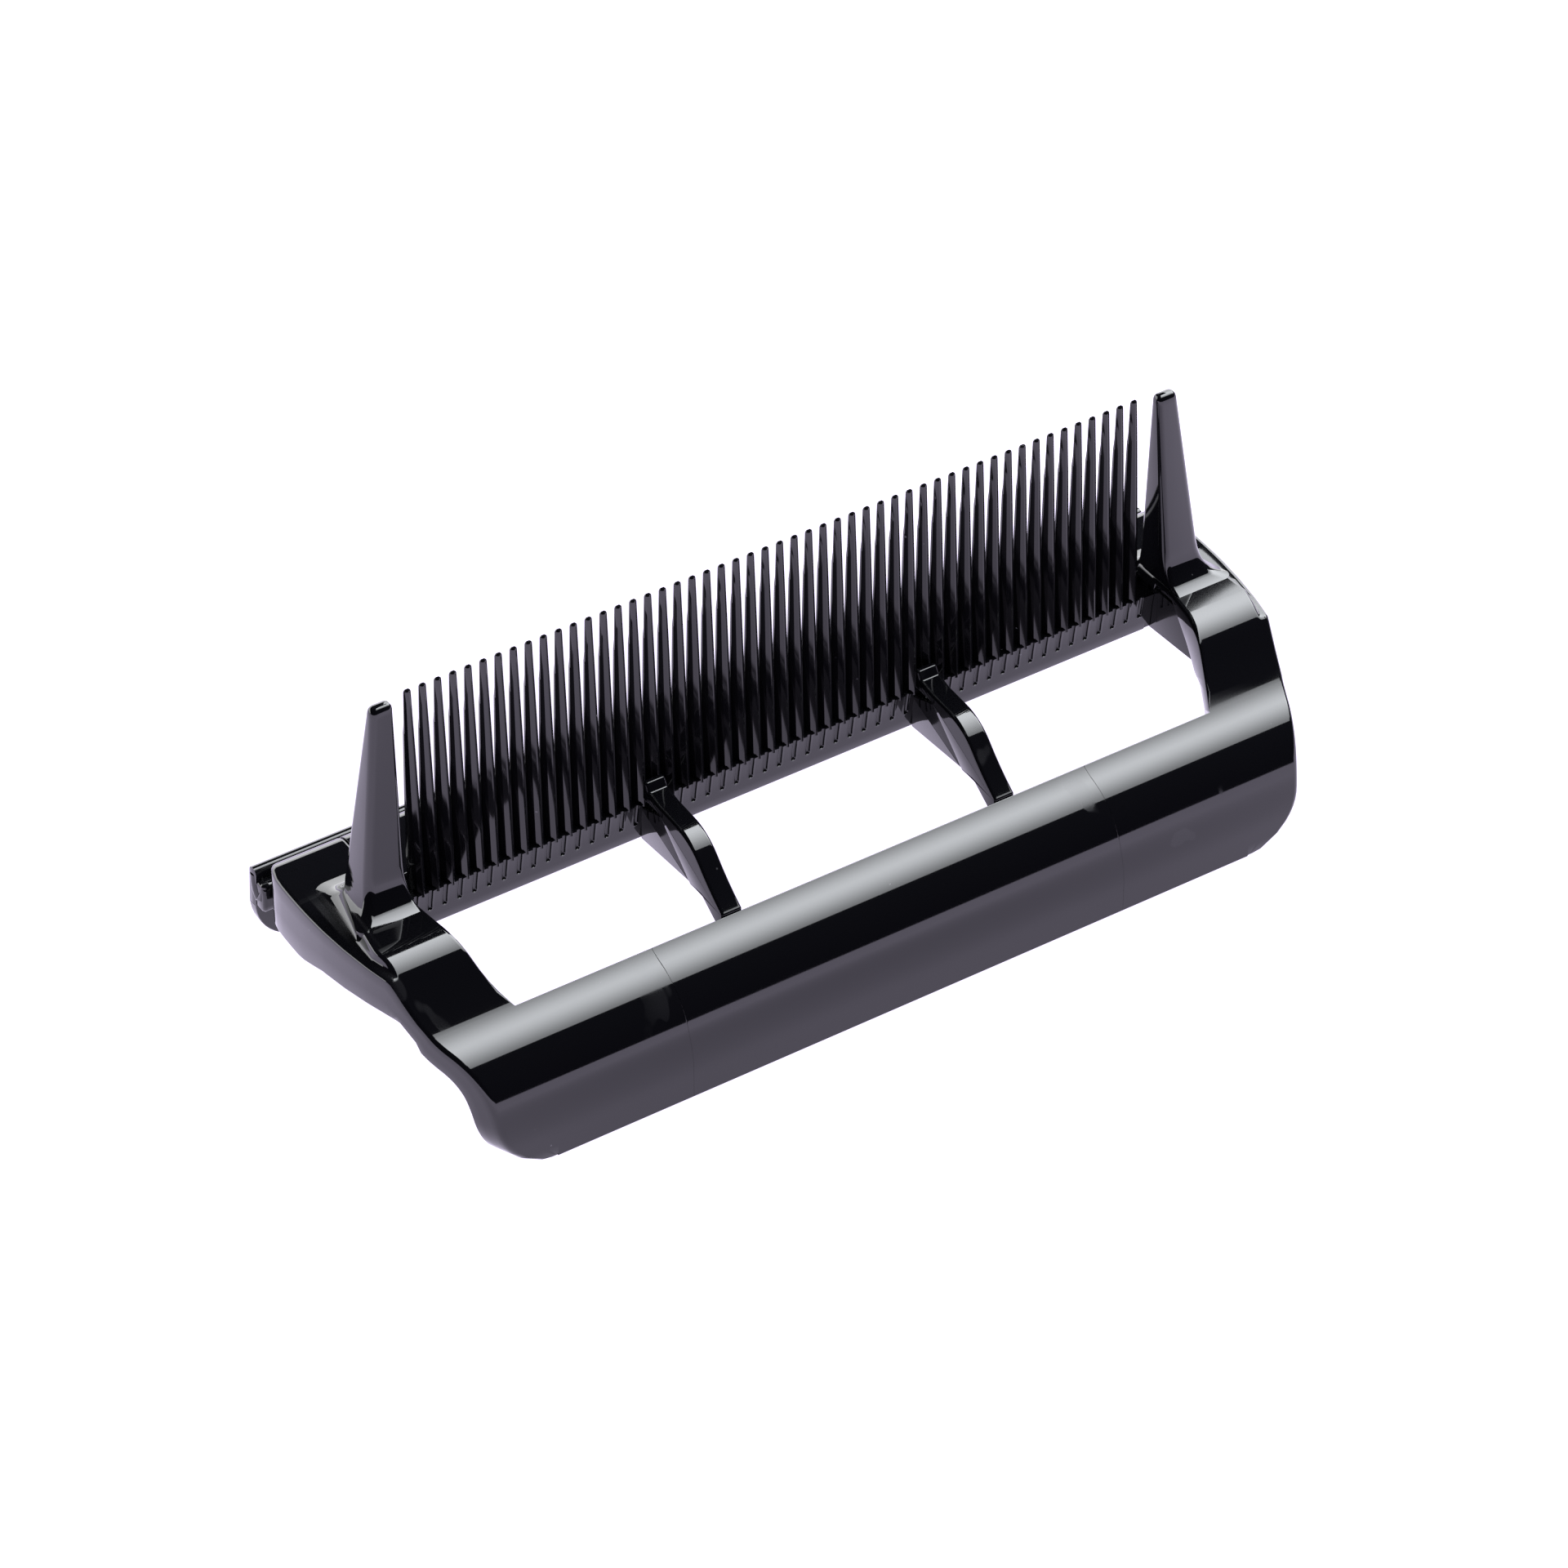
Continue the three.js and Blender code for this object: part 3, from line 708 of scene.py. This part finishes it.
def plate_end(side):
    """The short plain stretch past the last groove, closed at its end."""
    start = (TOOTH_COUNT + 1) / 2 * TOOTH_PITCH
    reach = ARM_INNER - SEAM_GAP * 2
    outline = [
        (PLATE_BACK - 0.25, SHELF_TOP), (PLATE_BACK, SHELF_TOP - 0.25),
        (PLATE_BACK, PLATE_EDGE + 0.25),
        (PLATE_BACK - 0.25, PLATE_EDGE), (PLATE_FRONT + 0.25, PLATE_EDGE),
        (PLATE_FRONT, PLATE_EDGE + 0.25),
        (plate_front(15.2), 15.2), (plate_front(16.1), 16.1),
        (TOOTH_FRONT + 0.05, SHELF_TOP - 0.12),
        (TOOTH_FRONT + 0.14, SHELF_TOP),
    ]
    low, high = sorted((start * side, reach * side))
    return slab(outline, low, high, 0.06, side < 0, side > 0)


def held_mesh(name, work, offset=0.0):
    """A template mesh in metres for the comb's tree."""
    bmesh.ops.scale(work, vec=(MM, MM, MM), verts=work.verts)
    bmesh.ops.translate(work, vec=(0, offset, 0), verts=work.verts)
    built = bpy.data.meshes.new(name)
    work.to_mesh(built)
    work.free()
    made = bpy.data.objects.new(name, built)
    return made


def comb_tree():
    """Rows of teeth and of grooved plate cells, joined to the plate's ends."""
    tree = bpy.data.node_groups.new("comb_rows", "GeometryNodeTree")
    face = tree.interface
    face.new_socket("Ends", in_out="INPUT", socket_type="NodeSocketGeometry")
    face.new_socket("Tooth", in_out="INPUT", socket_type="NodeSocketObject")
    face.new_socket("Cell", in_out="INPUT", socket_type="NodeSocketObject")
    face.new_socket("Teeth", in_out="INPUT", socket_type="NodeSocketInt")
    face.new_socket("Pitch", in_out="INPUT", socket_type="NodeSocketFloat")
    face.new_socket("Finish", in_out="INPUT", socket_type="NodeSocketMaterial")
    face.new_socket("Comb", in_out="OUTPUT", socket_type="NodeSocketGeometry")
    nodes, links = tree.nodes, tree.links
    given, result = nodes.new("NodeGroupInput"), nodes.new("NodeGroupOutput")

    def maths(operation, *values):
        node = nodes.new("ShaderNodeMath")
        node.operation = operation
        for socket, value in zip(node.inputs, values):
            if isinstance(value, bpy.types.NodeSocket):
                links.new(value, socket)
            else:
                socket.default_value = value
        return node.outputs[0]

    def row_of(template, count):
        span = maths("MULTIPLY", maths("SUBTRACT", count, 1.0), given.outputs["Pitch"])
        start, step = nodes.new("ShaderNodeCombineXYZ"), nodes.new("ShaderNodeCombineXYZ")
        links.new(maths("MULTIPLY", span, -0.5), start.inputs[0])
        links.new(given.outputs["Pitch"], step.inputs[0])
        line = nodes.new("GeometryNodeMeshLine")
        links.new(count, line.inputs["Count"])
        links.new(start.outputs[0], line.inputs["Start Location"])
        links.new(step.outputs[0], line.inputs["Offset"])
        source = nodes.new("GeometryNodeObjectInfo")
        links.new(template, source.inputs["Object"])
        spread = nodes.new("GeometryNodeInstanceOnPoints")
        links.new(line.outputs["Mesh"], spread.inputs["Points"])
        links.new(source.outputs["Geometry"], spread.inputs["Instance"])
        return spread.outputs["Instances"]

    cells = nodes.new("GeometryNodeRealizeInstances")
    links.new(row_of(given.outputs["Cell"], maths("ADD", given.outputs["Teeth"], 1.0)),
              cells.inputs[0])
    plate = nodes.new("GeometryNodeJoinGeometry")
    links.new(cells.outputs[0], plate.inputs[0])
    weld = nodes.new("GeometryNodeMergeByDistance")
    weld.inputs["Distance"].default_value = 0.002 * MM
    links.new(plate.outputs[0], weld.inputs["Geometry"])
    join = nodes.new("GeometryNodeJoinGeometry")
    links.new(given.outputs["Ends"], join.inputs[0])
    links.new(weld.outputs[0], join.inputs[0])
    links.new(row_of(given.outputs["Tooth"], given.outputs["Teeth"]), join.inputs[0])
    real = nodes.new("GeometryNodeRealizeInstances")
    links.new(join.outputs[0], real.inputs[0])
    coat = nodes.new("GeometryNodeSetMaterial")
    links.new(real.outputs[0], coat.inputs["Geometry"])
    links.new(given.outputs["Finish"], coat.inputs["Material"])
    links.new(coat.outputs[0], result.inputs[0])
    return tree


def comb_piece():
    tooth_object = held_mesh("tooth_template", tooth(), TIP_ROW)
    cell_object = held_mesh("cell_template", plate_cell(), TIP_ROW)
    ends = assemble("comb_ends", [plate_end(-1), plate_end(1)])
    tree = comb_tree()
    grown = ends.modifiers.new("comb_rows", "NODES")
    grown.node_group = tree
    values = {
        "Tooth": tooth_object, "Cell": cell_object, "Teeth": TOOTH_COUNT,
        "Pitch": TOOTH_PITCH * MM, "Finish": FINISHES["comb_plastic"],
    }
    for item in tree.interface.items_tree:
        if item.name in values:
            grown[item.identifier] = values[item.name]
    evaluated = ends.evaluated_get(bpy.context.evaluated_depsgraph_get())
    built = bpy.data.meshes.new_from_object(evaluated)
    built.name = "comb"
    for spare in (ends, tooth_object, cell_object):
        bpy.data.objects.remove(spare)
    return place("comb", built, 24)


# ------------------------------------------------------------------ finishes
class Value:
    """A node's output socket that arithmetic can be written on."""

    def __init__(self, paper, socket):
        self.paper = paper
        self.socket = socket

    def _maths(self, operation, *values):
        inputs = dict(enumerate(values))
        return self.paper.node("ShaderNodeMath", {"operation": operation, "use_clamp": False},
                               inputs)

    def __add__(self, other):
        return self._maths("ADD", self, other)

    def __radd__(self, other):
        return self._maths("ADD", other, self)

    def __sub__(self, other):
        return self._maths("SUBTRACT", self, other)

    def __rsub__(self, other):
        return self._maths("SUBTRACT", other, self)

    def __mul__(self, other):
        return self._maths("MULTIPLY", self, other)

    def __rmul__(self, other):
        return self._maths("MULTIPLY", other, self)

    def between(self, low, high):
        """0 below low, 1 above high, and a smooth rise from one to the other."""
        return self.paper.node(
            "ShaderNodeMapRange", {"interpolation_type": "SMOOTHSTEP"},
            {"Value": self, "From Min": low, "From Max": high}, "Result",
        )


class Paper:
    """The node tree of one material."""

    def __init__(self, name):
        self.material = bpy.data.materials.new(name)
        self.material.use_nodes = True
        self.tree = self.material.node_tree
        self.tree.nodes.clear()

    def node(self, kind, settings=None, inputs=None, output=0):
        made = self.tree.nodes.new(kind)
        for key, value in (settings or {}).items():
            if key == "stops":
                ramp = made.color_ramp
                for element, (position, colour) in zip(ramp.elements, value):
                    element.position, element.color = position, colour
            else:
                setattr(made, key, value)
        for key, value in (inputs or {}).items():
            if isinstance(value, Value):
                self.tree.links.new(value.socket, made.inputs[key])
            else:
                made.inputs[key].default_value = value
        return Value(self, made.outputs[output]) if made.outputs else None


def black_plastic(name, body, roughness, scratches, dust, ripple):
    """Gloss black moulded plastic with faint flow ripples, hairline scratches and dust."""
    paper = Paper(name)
    where = paper.node("ShaderNodeTexCoord", output="Object")

    def noise(scale, detail, stretch=None, turn=(0, 0, 0)):
        spot = where
        if stretch:
            spot = paper.node("ShaderNodeMapping", None,
                              {"Vector": where, "Rotation": turn, "Scale": stretch})
        return paper.node("ShaderNodeTexNoise", None,
                          {"Vector": spot, "Scale": scale, "Detail": detail})

    cloud = noise(90.0, 3.0)
    hair = noise(260.0, 2.0, (0.06, 1.0, 1.0), (0.2, 0.5, 0.35)).between(0.655, 0.68)
    hair_cross = noise(240.0, 2.0, (1.0, 0.05, 0.8), (0.4, 0.1, 0.9)).between(0.66, 0.685)
    patch = noise(60.0, 1.0).between(0.48, 0.62)
    marks = (hair + hair_cross) * patch * scratches
    speck_cell = paper.node("ShaderNodeTexVoronoi", {"feature": "F1"},
                            {"Vector": where, "Scale": 420.0}, "Distance")
    speck = (1.0 - speck_cell.between(0.03, 0.06)) * noise(150.0, 1.0).between(0.56, 0.62) * dust
    tone = paper.node(
        "ShaderNodeValToRGB",
        {"stops": ((0.0, (*body, 1.0)), (1.0, (body[0] + 0.22, body[1] + 0.22, body[2] + 0.23,
                                               1.0)))},
        {"Fac": speck * 0.9 + marks * 0.05}, "Color",
    )
    rough = roughness + cloud * 0.03 + marks * 0.16 + speck * 0.4
    height = noise(55.0, 1.0) * ripple + noise(900.0, 2.0) * 0.004
    lift = paper.node("ShaderNodeBump", None, {"Height": height, "Strength": 0.25,
                                               "Distance": 0.0002}, "Normal")
    plastic = paper.node(
        "ShaderNodeBsdfPrincipled", None,
        {"Base Color": tone, "Roughness": rough, "Normal": lift, "IOR": 1.5}, "BSDF",
    )
    paper.node("ShaderNodeOutputMaterial", None, {"Surface": plastic})
    return paper.material


FINISHES = {
    "comb_plastic": black_plastic("comb_plastic", (0.004, 0.004, 0.005), 0.06, 0.7, 0.8, 0.3),
    "frame_plastic": black_plastic("frame_plastic", (0.003, 0.003, 0.004), 0.035, 1.0, 0.5, 0.25),
    "web_plastic": black_plastic("web_plastic", (0.004, 0.004, 0.005), 0.08, 0.6, 0.3, 0.4),
    "hook_plastic": black_plastic("hook_plastic", (0.004, 0.004, 0.005), 0.05, 0.8, 0.3, 0.3),
}

# ------------------------------------------------------------------ the pieces
finish_piece(comb_piece(), "comb_strip", "frame", "comb_plastic")
finish_piece(deck_piece(), "rear_deck", "frame", "frame_plastic")
finish_piece(hook_piece(), "hook_rail", "hook", "hook_plastic")
half_bar = BAR_SEAM - SEAM_GAP
finish_piece(assemble("bar", [slab(bar_section(), -half_bar, half_bar, SEAM_EASE)]), "grip_bar",
             "frame", "frame_plastic")
for label, side in (("left", -1), ("right", 1)):
    finish_piece(end_frame(side, f"{label}_end"), f"{label}_end_frame", "frame", "frame_plastic")
    finish_piece(gusset(side, f"{label}_gusset"), f"{label}_end_gusset", "frame", "web_plastic")
    finish_piece(strut(side, f"{label}_rib"), f"{label}_strut", "frame", "frame_plastic")
    finish_piece(strut_web(side, f"{label}_web"), f"{label}_strut_web", "frame", "web_plastic")


# ------------------------------------------------------------------ floor, light, camera
def stage_piece(name, corners):
    """A flat stage surface through four corners, in metres, and the paper for its finish."""
    built = bpy.data.meshes.new(name)
    built.from_pydata(corners, [], [(0, 1, 2, 3)])
    made = bpy.data.objects.new(name, built)
    bpy.context.scene.collection.objects.link(made)
    paper = Paper(name)
    made.data.materials.append(paper.material)
    return paper


def shine(paper, tint, strength):
    light = paper.node("ShaderNodeEmission", None, {"Color": (*tint, 1.0), "Strength": strength},
                       "Emission")
    paper.node("ShaderNodeOutputMaterial", None, {"Surface": light})


def softbox():
    """A large slanting softbox overhead, brightest along its middle."""
    height = 1.6
    outline = ((-0.028, -0.47), (1.7, -0.47), (2.5, 1.7), (1.262, 1.7))
    paper = stage_piece("softbox", [(x * height, y * height, height) for x, y in outline])
    where = paper.node("ShaderNodeTexCoord", output="Object")
    depth = paper.node("ShaderNodeSeparateXYZ", None, {"Vector": where}, "Y")
    rise = depth.between(-0.62 * height, 0.26 * height)
    fall = depth.between(0.22 * height, 1.3 * height)
    shine(paper, (0.93, 0.96, 1.0), (3.2 + rise * 10.0) * (1.0 - fall * 0.5))


FLOOR_HALF = 12
FLOOR_Z = -0.0002
BACKDROP_HALF = 9
BACKDROP_Y = 3
BACKDROP_TOP = 1.7


def studio_floor():
    """A wide pale glowing floor with painted shade: it glows dimmer near the part and brighter away
    from it.
    """
    half = FLOOR_HALF
    paper = stage_piece("studio_floor", [(-half, -half, FLOOR_Z), (half, -half, FLOOR_Z),
                                         (half, half, FLOOR_Z), (-half, half, FLOOR_Z)])
    where = paper.node("ShaderNodeTexCoord", output="Object")
    away = paper.node("ShaderNodeVectorMath", {"operation": "LENGTH"}, {0: where}, "Value")
    # painted shade: the floor's glow is turned down within about 100 mm of the part, as if the part
    # shaded it
    shine(paper, (0.96, 0.885, 1.13), 1.28 + away.between(0.03, 0.10) * 0.75)


def backdrop():
    """A pale wall well behind the part."""
    half, y, top = BACKDROP_HALF, BACKDROP_Y, BACKDROP_TOP
    paper = stage_piece("backdrop", [(-half, y, 0), (half, y, 0), (half, y, top), (-half, y, top)])
    shine(paper, (0.97, 0.98, 1.0), 4.5)


softbox()
studio_floor()
backdrop()

world = bpy.data.worlds.new("studio")
bpy.context.scene.world = world
world.use_nodes = True
world.node_tree.nodes["Background"].inputs["Color"].default_value = (0.01, 0.01, 0.012, 1.0)

camera_data = bpy.data.cameras.new("camera")
camera_data.lens = 162.7
camera_data.sensor_width = 36.0
camera = bpy.data.objects.new("camera", camera_data)
bpy.context.scene.collection.objects.link(camera)
right = Vector((0.8387, -0.5446, 0.0)).normalized()
back = Vector((-0.4192, -0.6455, 0.6385)).normalized()
up = back.cross(right).normalized()
tip_middle = Vector((0.0, TIP_ROW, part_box("comb_strip")[1][2] - 1.1 * MM))
place_at = tip_middle + (right * 0.388 - up * 21.55 + back * 655.3) * MM
turn = Matrix((right, up, back)).transposed()
camera.matrix_world = Matrix.Translation(place_at) @ turn.to_4x4()
camera_data.clip_start, camera_data.clip_end = 0.05, 100.0
bpy.context.scene.camera = camera
bpy.context.scene.view_settings.view_transform = "Standard"
